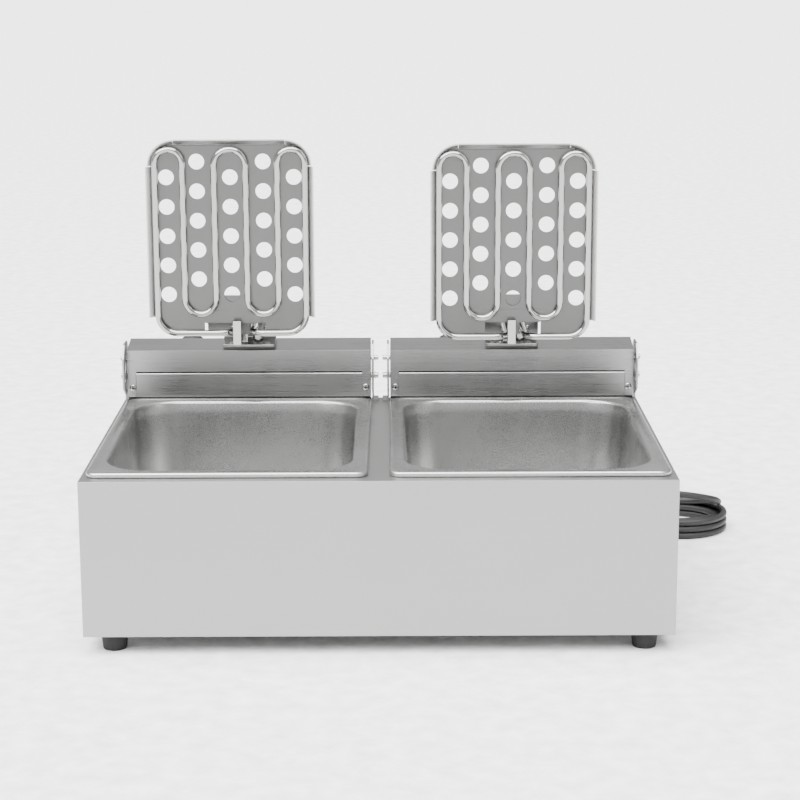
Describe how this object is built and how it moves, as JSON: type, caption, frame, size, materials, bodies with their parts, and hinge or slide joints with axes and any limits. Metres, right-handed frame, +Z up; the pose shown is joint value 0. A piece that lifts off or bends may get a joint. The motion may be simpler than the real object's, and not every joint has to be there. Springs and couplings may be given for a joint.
{
  "type": "donut maker",
  "caption": "Countertop electric deep fryer for donuts: sheet-steel casing, lift-out oil tanks and tilting heater heads with perforated plates and looped elements.",
  "frame": {"origin": "middle of the footprint of everything but the cords, on the table under the feet", "axes": "+X right seen from the front, +Y back towards the hinges, +Z up"},
  "size_m": [0.6788, 0.537, 0.4622],
  "materials": {
    "casing_steel": "fine-brushed stainless sheet",
    "tank_steel": "satin pressed stainless steel",
    "head_steel": "brushed stainless sheet",
    "plate_steel": "matt perforated stainless sheet",
    "tube_steel": "bright stainless tube",
    "rod_steel": "bright turned steel",
    "gasket": "dull sealing sheet",
    "foot_rubber": "matt black rubber",
    "cord_rubber": "satin black cord sheath",
    "black_plastic": "moulded black plastic",
    "ceramic": "off-white ceramic",
    "lens_green": "clear green lens",
    "lens_red": "clear red lens",
    "button_red": "moulded red button"
  },
  "bodies": {
    "base": {"body_shell": "casing_steel", "back_panel": "casing_steel", "bottom_plate": "casing_steel", "foot_front_left": "foot_rubber", "foot_front_right": "foot_rubber", "foot_back_left": "foot_rubber", "foot_back_right": "foot_rubber", "bracket_left_inner": "head_steel", "bracket_left_outer": "head_steel", "bracket_right_inner": "head_steel", "bracket_right_outer": "head_steel", "cord_left": "cord_rubber", "cord_coil_left": "cord_rubber", "plug_left": "cord_rubber", "cord_right": "cord_rubber", "cord_coil_right": "cord_rubber", "plug_right": "cord_rubber"},
    "tank_left": {"tank_left": "tank_steel"},
    "head_left": {"head_cover_left": "head_steel", "head_tray_left": "head_steel", "pivot_rod_left": "rod_steel", "latch_rod_left": "rod_steel", "flange_gasket_left": "gasket", "element_flange_left": "rod_steel", "heating_element_left": "tube_steel", "perforated_plate_left": "plate_steel", "panel_strap_left": "plate_steel", "bulb_guard_left": "plate_steel", "thermostat_left": "ceramic", "lamp_power_left": "lens_green", "lamp_heat_left": "lens_red", "terminal_block_left": "ceramic", "cable_gland_left": "black_plastic", "cover_screw_left_a": "rod_steel", "cover_screw_left_b": "rod_steel"},
    "knob_left": {"knob_left": "black_plastic"},
    "reset_button_left": {"reset_button_left": "button_red"},
    "tank_right": {"tank_right": "tank_steel"},
    "head_right": {"head_cover_right": "head_steel", "head_tray_right": "head_steel", "pivot_rod_right": "rod_steel", "latch_rod_right": "rod_steel", "flange_gasket_right": "gasket", "element_flange_right": "rod_steel", "heating_element_right": "tube_steel", "perforated_plate_right": "plate_steel", "panel_strap_right": "plate_steel", "bulb_guard_right": "plate_steel", "thermostat_right": "ceramic", "lamp_power_right": "lens_green", "lamp_heat_right": "lens_red", "terminal_block_right": "ceramic", "cable_gland_right": "black_plastic", "cover_screw_right_a": "rod_steel", "cover_screw_right_b": "rod_steel"},
    "knob_right": {"knob_right": "black_plastic"},
    "reset_button_right": {"reset_button_right": "button_red"}
  },
  "joints": [
    {"name": "tank_left_lift", "type": "slide", "parent": "base", "child": "tank_left", "axis": [0, 0, -1], "range_m": [-0.075, 0]},
    {"name": "head_left_tilt", "type": "hinge", "parent": "base", "child": "head_left", "pos_m": [-0.1425, 0.14438, 0.1965], "axis": [1, 0, 0], "range_deg": [0, 90]},
    {"name": "knob_left_turn", "type": "hinge", "parent": "head_left", "child": "knob_left", "pos_m": [-0.2085, 0.18438, 0.214], "axis": [0, -0.7731, -0.6343], "range_deg": [0, 270]},
    {"name": "reset_button_left_press", "type": "slide", "parent": "head_left", "child": "reset_button_left", "axis": [0, -0.7731, -0.6343], "range_m": [0, 0.002], "stiffness_N_per_m": 400, "springref_m": -0.001},
    {"name": "tank_right_lift", "type": "slide", "parent": "base", "child": "tank_right", "axis": [0, 0, -1], "range_m": [-0.075, 0]},
    {"name": "head_right_tilt", "type": "hinge", "parent": "base", "child": "head_right", "pos_m": [0.1425, 0.14438, 0.1965], "axis": [1, 0, 0], "range_deg": [0, 90]},
    {"name": "knob_right_turn", "type": "hinge", "parent": "head_right", "child": "knob_right", "pos_m": [0.0765, 0.18438, 0.214], "axis": [0, -0.7731, -0.6343], "range_deg": [0, 270]},
    {"name": "reset_button_right_press", "type": "slide", "parent": "head_right", "child": "reset_button_right", "axis": [0, -0.7731, -0.6343], "range_m": [0, 0.002], "stiffness_N_per_m": 400, "springref_m": -0.001}
  ]
}
